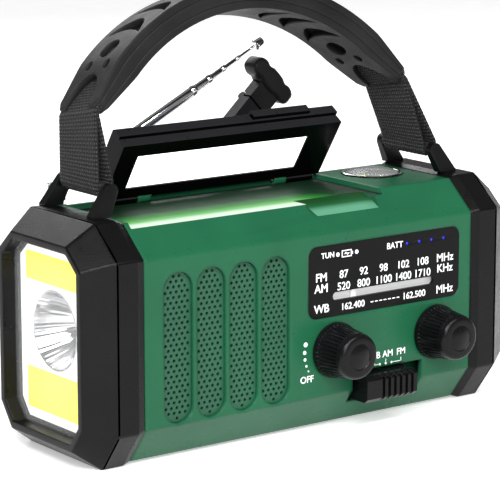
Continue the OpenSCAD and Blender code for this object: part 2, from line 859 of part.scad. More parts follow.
// Places a bracket's outline, drawn in (Y, Z) about the bar, leaning inwards at the top
module bracket() {
  color("dimgray") {
    for (s = [-1, 1]) hull() {
      translate([bracket_x, bar[1] + s * (arm_half + 2.4), cap_top + 0.4]) cube([8, 4, 0.8], center = true);
      translate([bar[0], bar[1] + s * (arm_half + 1.5), bar[2]]) rotate([90, 0, 0])
        cylinder(r = bar_r + 0.6, h = 3, center = true, $fn = 32);
    }
    translate([bar[0], bar[1], bar[2]]) rotate([90, 0, 0]) cylinder(r = bar_r, h = 2 * arm_half + 0.6, center = true);
  }
}

module right_bracket() bracket();

module left_bracket() mirror([1, 0, 0]) bracket();

grip_centre_x = -4;
arch_half = 44;
grip_end_z = 125;
straight = 20;
strap_t = 1.4;
loop_r = bar_r + 0.3;
loop_rise = 3;

// Tilts children about the line of the bracket bars
module leaning() {
  translate([0, bar[1], bar[2]]) rotate([-handle_lean, 0, 0]) translate([0, -bar[1], -bar[2]]) children();
}

arch_z = grip_end_z + straight * sin(arch_half) - grip_r * cos(arch_half);

// A point on the grip's side view, from the arch's centre: s along the straight end, n out from the inner face
function end_point(side, s, n) = [side * ((grip_r + n) * sin(arch_half) + s * cos(arch_half)),
  (grip_r + n) * cos(arch_half) - s * sin(arch_half)];

function arc_points(r, from, to) =
  let (steps = 36)
  [for (i = [0:steps]) let (a = from + (to - from) * i / steps) [r * sin(a), r * cos(a)]];

module grip() {
  taper = 2;
  end_top = grip_t - taper - 1;
  color("dimgray") leaning() translate([grip_centre_x, bar[1], arch_z])
    along_y(-strap_w / 2, strap_w / 2)
      polygon(concat(arc_points(grip_r + grip_t, -arch_half, arch_half),
        [end_point(1, straight, end_top), end_point(1, straight, taper)],
        arc_points(grip_r, arch_half, -arch_half),
        [end_point(-1, straight, taper), end_point(-1, straight, end_top)]));
}

module grip_rivets() {
  rivet_at = arch_half - 5;
  color("gray") leaning() for (s = [-1, 1])
    translate([grip_centre_x, bar[1], arch_z]) rotate([0, s * rivet_at, 0]) translate([0, 0, grip_r + grip_t])
      cylinder(r = 3.2, h = 0.9);
}

// One layer of a strap: from beside the bar up to the end of the grip. Side is 1 or -1, out moves it outwards
module strap_layer(side, out) {
  top = end_point(side, straight + 0.25, 4.75 + out * (strap_t / 2 - 0.1));
  wide = strap_w - 0.4;
  hull() {
    translate([side * (bar[0] + out * (loop_r + strap_t / 2)), bar[1], bar[2] + loop_rise])
      cube([strap_t, wide, 0.02], center = true);
    leaning() translate([grip_centre_x + top[0], bar[1], arch_z + top[1]]) rotate([0, side * arch_half, 0])
      cube([0.02, wide, strap_t], center = true);
  }
}

// The outline of the webbing round the bar, grown by d
module loop_outline(d) {
  circle(loop_r + d);
  translate([-loop_r - d, 0]) square([2 * (loop_r + d), loop_rise + 0.01]);
}

// A strap: webbing from one end of the grip, round a bracket's bar and back
module strap(side) {
  color("black") {
    along_y(bar[1] - strap_w / 2 + 0.2, bar[1] + strap_w / 2 - 0.2) translate([side * bar[0], bar[2]])
      difference() {
        loop_outline(strap_t);
        loop_outline(0);
        translate([-loop_r, 1]) square([2 * loop_r, loop_rise]);
      }
    for (out = [-1, 1]) strap_layer(side, out);
  }
}

module right_strap() strap(1);

module left_strap() strap(-1);

// ---------- buttons and fasteners ----------

button_x = [40, 58];
button_z = 30;
button_r = 4.5;
screw_r = 1.1;
screw_head_r = 2.4;
screw_points = [for (x = [-68, 68], z = [20, 74]) [x, z]];

module push_button(x) {
  color("black") {
    rod_y(x, button_z, rear - wall - 1, rear + 1.6, button_r);
    rod_y(x, button_z, rear - wall - 1.4, rear - wall - 0.2, button_r + 1.2);
  }
}

module lamp_button() push_button(button_x[0]);

module alarm_button() push_button(button_x[1]);

module rear_screws() {
  color("silver") for (p = screw_points) {
    rod_y(p[0], p[1], rear - 9, rear - 1.6, screw_r);
    difference() {
      rod_y(p[0], p[1], rear - 1.6, rear - 0.2, screw_head_r);
      block(p[0] - 1.6, p[0] + 1.6, rear - 0.8, rear, p[1] - 0.3, p[1] + 0.3);
      block(p[0] - 0.3, p[0] + 0.3, rear - 0.8, rear, p[1] - 1.6, p[1] + 1.6);
    }
  }
}

// ---------- the part ----------

front_shell();
rear_cover();
left_cap();
right_cap();
base_pad();
speaker_grille();
speaker_basket();
speaker_cone();
dial_window();
dial_plate();
tuning_pointer();
indicator_lights();
volume_knob();
tuning_knob();
volume_control();
tuning_capacitor();
band_slider();
band_switch();
circuit_board();
battery_cells();
battery_cradle();
lamp_face();
lamp_reflector();
lamp_led();
flood_panels();
lamp_lens();
light_panel();
light_diffuser();
solar_cell();
panel_hinge_pins();
compass_housing();
compass_card();
compass_dome();
crank_shaft();
crank_arm();
crank_knob();
crank_grip();
crank_gear();
idler_gear();
gear_plate();
generator();
generator_rotor();
antenna_base();
antenna_swivel();
antenna_tube();
antenna_section_2();
antenna_section_3();
antenna_section_4();
antenna_tip();
left_bracket();
right_bracket();
left_strap();
right_strap();
grip();
grip_rivets();
lamp_button();
alarm_button();
port_block();
port_cover();
rear_screws();
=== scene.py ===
import math

import bmesh
import bpy
from mathutils import Matrix, Vector


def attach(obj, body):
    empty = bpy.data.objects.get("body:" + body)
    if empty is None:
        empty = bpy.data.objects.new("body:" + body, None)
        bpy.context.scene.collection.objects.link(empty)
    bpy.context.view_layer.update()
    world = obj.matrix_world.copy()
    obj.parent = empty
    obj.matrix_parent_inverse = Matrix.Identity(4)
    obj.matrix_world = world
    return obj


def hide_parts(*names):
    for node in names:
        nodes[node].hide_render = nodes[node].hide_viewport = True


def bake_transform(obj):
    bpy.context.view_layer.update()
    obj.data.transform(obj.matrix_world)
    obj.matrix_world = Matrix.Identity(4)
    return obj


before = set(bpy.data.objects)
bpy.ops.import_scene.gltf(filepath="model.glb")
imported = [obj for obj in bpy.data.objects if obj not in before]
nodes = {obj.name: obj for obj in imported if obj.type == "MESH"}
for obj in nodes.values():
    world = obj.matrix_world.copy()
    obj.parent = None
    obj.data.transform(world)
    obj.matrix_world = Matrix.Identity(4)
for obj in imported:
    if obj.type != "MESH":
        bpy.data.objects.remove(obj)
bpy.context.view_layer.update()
scene = bpy.context.scene
MM = 0.001

# Places the pieces share, in mm
PRINT_Y = -35.02
TRAY_Z = 89.04
NOTCH_BACK = -15
NOTCH_FALL = 0.3
LAMP_X, LAMP_Z = -95.5, 48.6
KNOB_Z = 33
CRANK_AXIS = (-35, 41, 60)
CRANK_ANGLE = 43
COMPASS = (62, 7)
PANEL_OPEN = 57

# ---------- camera and light ----------


def look_at(obj, at):
    obj.rotation_euler = (Vector(at) - obj.location).to_track_quat("-Z", "Y").to_euler()


camera = bpy.data.objects.new("camera", bpy.data.cameras.new("camera"))
camera.data.lens = 178.4
camera.data.sensor_width = 36
camera.data.clip_end = 20
camera.location = (-0.5726, -0.7623, 0.2652)
look_at(camera, (-0.00513, 0, 0.07227))
scene.collection.objects.link(camera)
scene.camera = camera


def area_light(name, place, at, size, power, colour=(1, 1, 1)):
    data = bpy.data.lights.new(name, "AREA")
    data.shape = "RECTANGLE"
    data.size, data.size_y = size
    data.energy = power
    data.color = colour
    light = bpy.data.objects.new(name, data)
    light.location = place
    look_at(light, at)
    scene.collection.objects.link(light)


area_light("key", (-0.75, -0.55, 0.9), (0, 0, 0.08), (0.30, 0.30), 9)
area_light("crease", (-0.1, -0.9, 1.2), (0, 0, 0.08), (1.2, 0.12), 15)
area_light("rim", (0.3, 1.0, 0.7), (0, 0, 0.1), (0.8, 0.4), 5)

sun = bpy.data.objects.new("sun", bpy.data.lights.new("sun", "SUN"))
sun.data.energy = 2.2
sun.data.angle = math.radians(35)
sun.location = (-0.5, -1.0, 0.6)
look_at(sun, (0, 0, 0))
scene.collection.objects.link(sun)

world = bpy.data.worlds.new("studio")
world.use_nodes = True
world.node_tree.nodes["Background"].inputs["Color"].default_value = (1, 1, 1, 1)
world.node_tree.nodes["Background"].inputs["Strength"].default_value = 0.22
scene.world = world
scene.view_settings.view_transform = "Standard"

# ---------- materials ----------


def shader(name, base, rough, metal=0.0, **sockets):
    m = bpy.data.materials.new(name)
    m.use_nodes = True
    b = m.node_tree.nodes["Principled BSDF"]
    b.inputs["Base Color"].default_value = (*base, 1)
    b.inputs["Roughness"].default_value = rough
    b.inputs["Metallic"].default_value = metal
    for key, value in sockets.items():
        b.inputs[key.replace("_", " ")].default_value = value
    return m


def link(m, a, out, b, into):
    m.node_tree.links.new(a.outputs[out], b.inputs[into])


def add(m, kind, **settings):
    n = m.node_tree.nodes.new(kind)
    for key, value in settings.items():
        if key in n.inputs:
            n.inputs[key].default_value = value
        else:
            setattr(n, key, value)
    return n


def coords(m):
    return add(m, "ShaderNodeTexCoord")


def noise(m, scale, detail=3.0, stretch=(1, 1, 1)):
    mapping = add(m, "ShaderNodeMapping")
    mapping.inputs["Scale"].default_value = stretch
    link(m, coords(m), "Object", mapping, "Vector")
    n = add(m, "ShaderNodeTexNoise")
    n.inputs["Scale"].default_value = scale
    n.inputs["Detail"].default_value = detail
    link(m, mapping, "Vector", n, "Vector")
    return n


def spread(m, source, out, low, high, socket):
    """The source's 0.3 to 0.7 becomes low to high on the shader's socket."""
    r = add(m, "ShaderNodeMapRange")
    r.inputs["From Min"].default_value = 0.3
    r.inputs["From Max"].default_value = 0.7
    r.inputs["To Min"].default_value = low
    r.inputs["To Max"].default_value = high
    link(m, source, out, r, "Value")
    link(m, r, "Result", m.node_tree.nodes["Principled BSDF"], socket)


def vary(m, source, dark, light):
    """Base colour from dark to light with the source."""
    ramp = add(m, "ShaderNodeValToRGB")
    ramp.color_ramp.elements[0].position = 0.3
    ramp.color_ramp.elements[0].color = (*dark, 1)
    ramp.color_ramp.elements[1].position = 0.7
    ramp.color_ramp.elements[1].color = (*light, 1)
    link(m, source, "Fac" if "Fac" in source.outputs else "Value", ramp, "Fac")
    link(m, ramp, "Color", m.node_tree.nodes["Principled BSDF"], "Base Color")


def bump(m, source, out, strength, distance):
    b = add(m, "ShaderNodeBump")
    b.inputs["Strength"].default_value = strength
    b.inputs["Distance"].default_value = distance
    link(m, source, out, b, "Height")
    link(m, b, "Normal", m.node_tree.nodes["Principled BSDF"], "Normal")


def plastic(name, base, rough, grain=2200, strength=0.15, shift=0.12, **sockets):
    """Moulded plastic: a fine grain, a little colour drift and uneven gloss."""
    m = shader(name, base, rough, **sockets)
    bump(m, noise(m, grain, 2), "Fac", strength, 0.0002)
    cloud = noise(m, 45, 4)
    vary(m, cloud, [c * (1 - shift) for c in base], [c * (1 + shift) for c in base])
    spread(m, noise(m, 160, 3), "Fac", rough - 0.04, rough + 0.05, "Roughness")
    return m


def rounded(m, radius):
    """Shades the edges of a material as if rounded, radius in mm."""
    edge = add(m, "ShaderNodeBevel")
    edge.samples = 6
    edge.inputs["Radius"].default_value = radius * MM
    for node in m.node_tree.nodes:
        if node.bl_idname == "ShaderNodeBump":
            link(m, edge, "Normal", node, "Normal")


def metal(name, base, rough, stretch=(1, 1, 1), scale=900):
    m = shader(name, base, rough, 1.0)
    spread(m, noise(m, scale, 3, stretch), "Fac", max(0.02, rough - 0.04), rough + 0.06, "Roughness")
    bump(m, noise(m, scale, 2, stretch), "Fac", 0.04, 0.0001)
    return m


DULL = {"Specular_IOR_Level": 0.14}
GREEN = plastic("green_shell", (0.009, 0.082, 0.037), 0.30, 2600, 0.08, 0.08, Specular_IOR_Level=0.17)
rounded(GREEN, 2.2)
GRILLE = plastic("grille_green", (0.012, 0.070, 0.036), 0.42, 2600, 0.12, 0.1, Specular_IOR_Level=0.3)
CAP = plastic("black_cap", (0.003, 0.003, 0.0032), 0.30, 1900, 0.5, 0.2, **DULL)
BLACK = plastic("black_plastic", (0.004, 0.004, 0.0042), 0.30, 2400, 0.2, 0.2, **DULL)
KNOB = plastic("knob_black", (0.0035, 0.0035, 0.004), 0.26, 2400, 0.12, 0.2, **DULL)
GLOSS = plastic("gloss_black", (0.001, 0.001, 0.001), 0.22, 1200, 0.02, 0.1, Specular_IOR_Level=0.08)
DIAL = plastic("dial_black", (0.002, 0.002, 0.002), 0.32, 1500, 0.03, 0.1, Specular_IOR_Level=0.12)
EDGE = plastic("panel_edge", (0.012, 0.012, 0.013), 0.30, 2400, 0.12, 0.1, **DULL)
CRANK = plastic("crank_grey", (0.010, 0.010, 0.011), 0.38, 2200, 0.2, 0.2, **DULL)
RUBBER = plastic("grip_rubber", (0.010, 0.010, 0.0105), 0.46, 1500, 0.8, 0.3, **DULL)
PAD = plastic("pad_rubber", (0.008, 0.008, 0.008), 0.7, 1200, 0.4, 0.2, **DULL)
WHITE = plastic("white_plastic", (0.80, 0.80, 0.80), 0.35, 2400, 0.05, 0.02)
PRINT = plastic("white_print", (0.82, 0.84, 0.84), 0.5, 2400, 0.02, 0.02)
RED = plastic("red_button", (0.42, 0.02, 0.02), 0.35, 2200, 0.1)
NYLON = plastic("nylon", (0.75, 0.72, 0.62), 0.45, 1800, 0.1, 0.05)
BOARD = plastic("board_green", (0.01, 0.16, 0.06), 0.35, 2000, 0.1)
CELL = plastic("cell_wrap", (0.05, 0.18, 0.45), 0.25, 1400, 0.05)
PAPER = plastic("paper_cone", (0.02, 0.02, 0.02), 0.8, 1800, 0.4)
CHROME = metal("chrome", (0.86, 0.86, 0.87), 0.09, (0.05, 1, 1))
STEEL = metal("steel", (0.56, 0.56, 0.57), 0.30, (0.1, 1, 1))
COPPER = metal("copper", (0.70, 0.36, 0.20), 0.32, (1, 0.1, 1))
MIRROR = metal("mirror_coat", (0.60, 0.60, 0.61), 0.10, scale=500)


def clear(name, alpha):
    m = shader(name, (0.95, 0.97, 0.97), 0.04, Alpha=alpha)
    spread(m, noise(m, 60, 2), "Fac", 0.03, 0.07, "Roughness")
    return m


CLEAR = clear("clear_cover", 0.10)
DOME = clear("compass_dome", 0.12)


def glowing(name, base, colour, power, rough=0.4, grain=900):
    m = plastic(name, base, rough, grain, 0.1, 0.04)
    b = m.node_tree.nodes["Principled BSDF"]
    b.inputs["Emission Color"].default_value = (*colour, 1)
    b.inputs["Emission Strength"].default_value = power
    return m


DIFFUSER = glowing("lit_diffuser", (0.9, 0.9, 0.9), (1, 1, 0.98), 2.0)
YELLOW = glowing("lit_phosphor", (0.80, 0.72, 0.01), (1.0, 0.93, 0.0), 0.55, 0.5, 700)
FACE = glowing("lamp_face", (0.88, 0.88, 0.88), (1, 1, 1), 0.45)
BLUE = glowing("blue_light", (0.01, 0.01, 0.3), (0.03, 0.03, 0.9), 0.35)
# The dial plate glows faintly though it is no lamp: a painted brightness
GREY_BAR = glowing("grey_bar", (0.55, 0.55, 0.55), (1, 1, 1), 0.16)
LED = glowing("led_body", (0.75, 0.75, 0.6), (1, 1, 0.8), 0.5)


def webbing_material():
    """Black woven tape: ribs across it, fine yarns and a dusty sheen, with painted shade in the grooves and a
    painted highlight on the ribs.
    """
    m = shader("webbing", (0.005, 0.005, 0.0055), 0.7, Specular_IOR_Level=0.25, Sheen_Weight=0.08,
               Sheen_Roughness=0.5)
    uv = add(m, "ShaderNodeUVMap")
    rows = add(m, "ShaderNodeTexWave", wave_type="BANDS", bands_direction="X")
    rows.inputs["Scale"].default_value = 0.2244
    rows.inputs["Distortion"].default_value = 0.6
    link(m, uv, "UV", rows, "Vector")
    yarns = add(m, "ShaderNodeTexWave", wave_type="BANDS", bands_direction="Y")
    yarns.inputs["Scale"].default_value = 0.262
    yarns.inputs["Distortion"].default_value = 0.8
    link(m, uv, "UV", yarns, "Vector")
    both = add(m, "ShaderNodeMath", operation="MULTIPLY")
    link(m, rows, "Fac", both, 0)
    link(m, yarns, "Fac", both, 1)
    bump(m, both, "Value", 1.0, 0.0008)
    # Painted shade in the grooves and painted highlight on the rib crests: the colour follows the rib pattern
    vary(m, both, (0.0012, 0.0012, 0.0012), (0.050, 0.050, 0.052))
    return m


WEB = webbing_material()


def solar_material():
    m = shader("solar", (0.01, 0.014, 0.06), 0.15)
    cell = add(m, "ShaderNodeTexBrick")
    cell.inputs["Scale"].default_value = 60
    cell.inputs["Color1"].default_value = (0.008, 0.012, 0.05, 1)
    cell.inputs["Color2"].default_value = (0.010, 0.016, 0.065, 1)
    cell.inputs["Mortar"].default_value = (0.35, 0.36, 0.38, 1)
    cell.inputs["Mortar Size"].default_value = 0.012
    cell.offset = 0
    turn = add(m, "ShaderNodeMapping")
    turn.inputs["Rotation"].default_value = (math.radians(PANEL_OPEN), 0, 0)
    link(m, coords(m), "Object", turn, "Vector")
    link(m, turn, "Vector", cell, "Vector")
    link(m, cell, "Color", m.node_tree.nodes["Principled BSDF"], "Base Color")
    spread(m, noise(m, 200, 2), "Fac", 0.12, 0.18, "Roughness")
    return m


SOLAR = solar_material()

# ---------- mesh helpers ----------


def finish_mesh(obj, material, body, smooth=True, bevel=0.0, sharp=35):
    me = obj.data
    me.materials.clear()
    me.materials.append(material)
    if smooth:
        me.shade_smooth()
        me.set_sharp_from_angle(angle=math.radians(sharp))
    if bevel:
        b = obj.modifiers.new("bevel", "BEVEL")
        b.width = bevel
        b.segments = 2
        b.limit_method = "ANGLE"
        b.angle_limit = math.radians(35)
    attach(obj, body)
    return obj


def mesh_piece(name, verts, faces):
    me = bpy.data.meshes.new(name)
    me.from_pydata([[c * MM for c in v] for v in verts], [], faces)
    me.validate()
    bm = bmesh.new()
    bm.from_mesh(me)
    bmesh.ops.remove_doubles(bm, verts=bm.verts, dist=1e-6)
    bmesh.ops.recalc_face_normals(bm, faces=bm.faces)
    bm.to_mesh(me)
    bm.free()
    obj = bpy.data.objects.new(name, me)
    scene.collection.objects.link(obj)
    return obj


def outline_mesh(name, loops, depth, bevel=0.0, detail=1):
    """A flat plate centred on its own XY plane, from closed 2D loops in mm, the later ones being holes."""
    cu = bpy.data.curves.new(name, "CURVE")
    cu.dimensions = "2D"
    cu.fill_mode = "BOTH"
    cu.extrude = (depth / 2 - bevel) * MM
    cu.bevel_depth = bevel * MM
    cu.bevel_resolution = detail
    cu.offset = -bevel * MM
    for loop in loops:
        sp = cu.splines.new("POLY")
        sp.points.add(len(loop) - 1)
        for p, q in zip(sp.points, loop):
            p.co = (q[0] * MM, q[1] * MM, 0, 1)
        sp.use_cyclic_u = True
    return curve_to_mesh(name, cu)


def curve_to_mesh(name, cu):
    temp = bpy.data.objects.new(name + "_curve", cu)
    scene.collection.objects.link(temp)
    bpy.context.view_layer.update()
    me = bpy.data.meshes.new_from_object(temp.evaluated_get(bpy.context.evaluated_depsgraph_get()))
    bpy.data.objects.remove(temp)
    obj = bpy.data.objects.new(name, me)
    scene.collection.objects.link(obj)
    return obj


def join(name, parts):
    """One object from several, each with its own transform taken in."""
    bm = bmesh.new()
    for p in parts:
        me = p.data.copy()
        me.transform(p.matrix_world)
        bm.from_mesh(me)
        bpy.data.meshes.remove(me)
    me = bpy.data.meshes.new(name)
    bm.to_mesh(me)
    bm.free()
    for p in parts:
        bpy.data.objects.remove(p)
    obj = bpy.data.objects.new(name, me)
    scene.collection.objects.link(obj)
    return obj


def lathe(profile, segments, groove=None):
    """Verts and faces of a profile [(along, radius)] turned about +X.

    groove(k, along) is taken off the radius.
    """
    verts, faces = [], []
    for a, r in profile:
        for k in range(segments):
            t = 2 * math.pi * k / segments
            q = r - (groove(k, a) if groove else 0)
            verts.append((a, q * math.cos(t), q * math.sin(t)))
    for i in range(len(profile) - 1):
        for k in range(segments):
            n = (k + 1) % segments
            faces.append((i * segments + k, i * segments + n, (i + 1) * segments + n, (i + 1) * segments + k))
    faces.append(tuple(range(segments)))
    faces.append(tuple(len(verts) - 1 - k for k in range(segments)))
    return verts, faces


def lathe_ring(profile, segments):
    verts, faces = lathe(profile, segments)
    return verts, faces[:-2]


def placed(obj, matrix):
    obj.data.transform(matrix)
    return obj


def at(x, y, z):
    return Matrix.Translation((x * MM, y * MM, z * MM))


def turned(degrees, axis):
    return Matrix.Rotation(math.radians(degrees), 4, axis)


# Stands an XY outline up on the front face, facing -Y
FRONT = turned(90, "X")


def stadium(cx, cz, w, h, steps=12):
    r = w / 2
    top, low = cz + h / 2 - r, cz - h / 2 + r
    arc = [(r * math.cos(math.pi * i / steps), r * math.sin(math.pi * i / steps)) for i in range(steps + 1)]
    return [(cx + x, top + y) for x, y in arc] + [(cx - x, low - y) for x, y in arc]


def circle(cx, cy, r, steps=12):
    return [(cx + r * math.cos(2 * math.pi * i / steps), cy + r * math.sin(2 * math.pi * i / steps))
            for i in range(steps)]


def cad(node, material, width=0.0, clamp=True):
    """A CAD node that stays: its material, and soft edges where width is given."""
    o = nodes[node]
    me = o.data
    me.materials.clear()
    me.materials.append(material)
    if "custom_normal" in me.attributes:
        me.attributes.remove(me.attributes["custom_normal"])
    me.shade_smooth()
    weld = o.modifiers.new("weld", "WELD")
    weld.merge_threshold = 1e-6
    if width:
        b = o.modifiers.new("bevel", "BEVEL")
        b.width = width * MM
        b.segments = 3
        b.limit_method = "ANGLE"
        b.angle_limit = math.radians(30)
        b.use_clamp_overlap = clamp
    w = o.modifiers.new("normals", "WEIGHTED_NORMAL")
    w.keep_sharp = False
    w.weight = 80
    return o


# ---------- CAD nodes that stay ----------

cad("front_shell", GREEN, 0.5)
cad("rear_cover", GREEN, 0.5)
cad("left_cap", CAP, 0.8, False)
cad("right_cap", CAP, 0.8, False)
cad("base_pad", PAD, 0.3)
cad("dial_window", DIAL, 0.15)
cad("dial_plate", GREY_BAR)
cad("tuning_pointer", WHITE, 0.1)
cad("indicator_lights", BLUE)
cad("band_slider", KNOB, 0.25)
cad("lamp_face", FACE, 0.2)
cad("lamp_led", LED)
cad("flood_panels", YELLOW, 0.2)
cad("lamp_lens", CLEAR)
panel = cad("light_panel", GLOSS, 0.35)
panel.data.materials.append(EDGE)
for face in panel.data.polygons:
    # The free edge and the top, whose normals face forwards or up once the panel is closed
    local = turned(PANEL_OPEN, "X").to_3x3() @ face.normal
    if local.y < -0.5 or local.z > 0.5:
        face.material_index = 1
cad("light_diffuser", DIFFUSER, 0.2)
cad("solar_cell", SOLAR, 0.1)
cad("compass_housing", BLACK, 0.2)
cad("compass_card", GLOSS, 0.1)
cad("compass_dome", DOME)
cad("crank_arm", CRANK, 0.5)
cad("crank_knob", CRANK, 0.4)
cad("antenna_base", BLACK, 0.3)
cad("antenna_swivel", CHROME, 0.15)
cad("left_bracket", BLACK, 0.5)
cad("right_bracket", BLACK, 0.5)
cad("lamp_button", BLACK, 0.3)
cad("alarm_button", RED, 0.3)
cad("port_block", STEEL)
cad("port_cover", PAD, 0.4)
cad("rear_screws", STEEL, 0.1)
for inner, material in (
        ("speaker_basket", STEEL), ("speaker_cone", PAPER),
        ("volume_control", STEEL), ("tuning_capacitor", WHITE),
        ("band_switch", STEEL), ("circuit_board", BOARD), ("battery_cells", CELL), ("battery_cradle", BLACK),
        ("panel_hinge_pins", STEEL), ("crank_shaft", STEEL), ("crank_gear", NYLON), ("idler_gear", NYLON),
        ("gear_plate", STEEL), ("generator", STEEL), ("generator_rotor", COPPER), ("grip_rivets", CRANK)):
    cad(inner, material)

# ---------- speaker ----------


def speaker():
    """Four perforated slots, and the cloth behind them."""
    mid = 44.35
    slots = []
    for i in range(4):
        cx = -63.8 + 15 * i
        loops = [stadium(cx, mid, 12.9, 57.1)]
        row = 0
        z = mid - 27.0
        while z < mid + 27.3:
            for k in range(-2, 3):
                x = k * 2.5 + (1.25 if row % 2 else 0)
                edge = max(0, abs(z - mid) - 22.1)
                if math.hypot(x, edge) < 5.5:
                    loops.append(circle(cx + x, z, 0.66, 10))
            z += 2.0
            row += 1
        slots.append(outline_mesh("slot", loops, 0.8))
    plate = join("speaker_screen", slots)
    placed(plate, at(0, -33.1, 0) @ FRONT)
    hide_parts("speaker_grille")
    finish_mesh(plate, GRILLE, "case", sharp=30)
    back = outline_mesh("speaker_cloth", [stadium(-41.3, 44.3, 58.6, 58.9)], 0.3)
    placed(back, at(0, -31.9, 0) @ FRONT)
    finish_mesh(back, PAPER, "case")


speaker()

# ---------- print on the front ----------


def words(text, x, z, size, align="CENTER", bold=0.0):
    cu = bpy.data.curves.new("words", "FONT")
    cu.body = text
    cu.size = size * MM
    cu.align_x = align
    cu.align_y = "CENTER"
    cu.extrude = 0.00003
    cu.offset = bold * MM
    obj = curve_to_mesh("words", cu)
    return placed(obj, at(x, PRINT_Y, z) @ FRONT)


def dot(x, z, r, steps=20):
    obj = outline_mesh("dot", [circle(0, 0, r, steps)], 0.06)
    return placed(obj, at(x, PRINT_Y, z) @ FRONT)


def mark(loops):
    obj = outline_mesh("mark", loops, 0.06)
    return placed(obj, at(0, PRINT_Y, 0) @ FRONT)


def rect(x0, x1, z0, z1):
    return [(x0, z0), (x1, z0), (x1, z1), (x0, z1)]


def front_print():
    """The dial's scales, the battery sign, the volume dots and the band slider's marks."""
    parts = []
    rows = (("87", "92", "98", "102", "108"), ("520", "800", "1100", "1400", "1710"))
    for z, labels in zip((62.2, 57.5), rows):
        for i, label in enumerate(labels):
            parts.append(words(label, 13.9 + 9.95 * i, z, 4.3, bold=0.05))
    for text, x, z in (("FM", 2.9, 62.1), ("AM", 2.9, 57.8), ("WB", 3.1, 49.8)):
        parts.append(words(text, x, z, 4.6, bold=0.08))
    for text, z in (("MHz", 62.4), ("KHz", 58.1), ("MHz", 49.6)):
        parts.append(words(text, 65.4, z, 4.6, bold=0.06))
    parts.append(words("162.400", 18.5, 49.3, 3.7, bold=0.06))
    parts.append(words("162.500", 49.5, 49.3, 3.7, bold=0.06))
    for i in range(7):
        x = 27.4 + 2.2 * i
        parts.append(mark([rect(x, x + 1.4, 49.2, 49.6)]))
    parts.append(words("TUN", 6.0, 70.5, 3.1, bold=0.05))
    parts.append(words("BATT", 39.4, 70.4, 3.4, bold=0.05))
    parts.append(dot(10.9, 70.3, 0.85))
    parts.append(dot(20.2, 70.3, 0.85))
    parts.append(mark([rect(12.8, 17.7, 68.9, 71.7), rect(13.2, 17.3, 69.3, 71.3)]))
    parts.append(mark([rect(17.8, 18.3, 69.7, 70.9)]))
    bolt = [(13.9, 70.1), (15.5, 70.1), (15.5, 69.5), (16.8, 70.5), (15.0, 70.5), (15.0, 71.1)]
    parts.append(mark([bolt]))
    volume_dots = ((-4.6, 36.9, 0.95), (-5.1, 33.8, 0.8), (-4.9, 31.0, 0.65), (-4.2, 28.4, 0.5),
                   (-3.2, 26.2, 0.35))
    for x, z, r in volume_dots:
        parts.append(dot(x, z, r))
    parts.append(words("OFF", -3.9, 22.9, 3.7, bold=0.05))
    for text, x in (("WB", 29.6), ("AM", 36.4), ("FM", 43.2)):
        parts.append(words(text, x, 27.3, 3.7, bold=0.05))
    for x in (32.4, 35.4, 38.4):
        parts.append(dot(x, 23.6, 0.5))
    parts.append(mark([rect(29.8, 32.4, 23.5, 23.75)]))
    parts.append(mark([rect(29.6, 29.9, 23.5, 25.0)]))
    parts.append(mark([rect(35.27, 35.53, 23.6, 25.4)]))
    parts.append(mark([rect(38.4, 43.2, 23.5, 23.75)]))
    parts.append(mark([rect(43.0, 43.3, 23.5, 25.0)]))
    obj = join("front_print", parts)
    finish_mesh(obj, PRINT, "case", smooth=False)


front_print()

# ---------- knobs ----------


def knob(name, node, body, x):
    """A tapered, fluted knob with a recessed face. Each flute is per segments wide, two of them cut in."""
    flutes, per = 40, 6

    def groove(k, a):
        if not 2.2 < a < 12.4:
            return 0
        return 0.5 if k % per in (2, 3) else 0

    profile = [(16.0, 0.0), (16.0, 4.4), (15.7, 4.8), (15.7, 4.9), (16.0, 5.2), (16.0, 7.3), (15.8, 7.9),
               (15.3, 8.5), (14.6, 8.9), (13.4, 9.15), (12.5, 9.25), (12.3, 9.28), (2.4, 10.35), (2.1, 10.4),
               (2.1, 10.9), (1.7, 11.0), (0.6, 11.0), (0.3, 10.8), (0.3, 3.0)]
    verts, faces = lathe(profile, flutes * per, groove)
    obj = mesh_piece(name, verts, faces)
    placed(obj, at(x, -35, KNOB_Z) @ turned(-90, "Z"))
    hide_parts(node)
    finish_mesh(obj, KNOB, body, sharp=40)


knob("volume_dial", "volume_knob", "volume", 9.5)
knob("tuning_dial", "tuning_knob", "tuning", 60.5)

# ---------- lit tray ----------


def painted_glow_green(name, back, side, stops, power):
    """Green floor with the panel's light painted on rather than cast: a dark base for painted shade, and an
    emission glow, painted light, that grows over back along Y and over side along X.
    """
    # Darkened base colour: painted shade, so the floor stays dark under the panel
    m = plastic(name, (0.004, 0.014, 0.007), 0.5, 2600, 0.08, 0.08, Specular_IOR_Level=0.1)
    b = m.node_tree.nodes["Principled BSDF"]
    axes = add(m, "ShaderNodeSeparateXYZ")
    link(m, coords(m), "Object", axes, "Vector")
    both = add(m, "ShaderNodeMath", operation="MULTIPLY")
    for k, (axis, span) in enumerate((("Y", back), ("X", side))):
        grow = add(m, "ShaderNodeMapRange", interpolation_type="SMOOTHSTEP")
        grow.inputs["From Min"].default_value = span[0] * MM
        grow.inputs["From Max"].default_value = span[1] * MM
        link(m, axes, axis, grow, "Value")
        link(m, grow, "Result", both, k)
    ramp = add(m, "ShaderNodeValToRGB")
    for k, (place, colour) in enumerate(stops):
        e = ramp.color_ramp.elements[0] if k == 0 else (
            ramp.color_ramp.elements[-1] if k == len(stops) - 1 else ramp.color_ramp.elements.new(place))
        e.position = place
        e.color = (*colour, 1)
    link(m, both, "Value", ramp, "Fac")
    link(m, ramp, "Color", b, "Emission Color")
    b.inputs["Emission Strength"].default_value = power
    return m


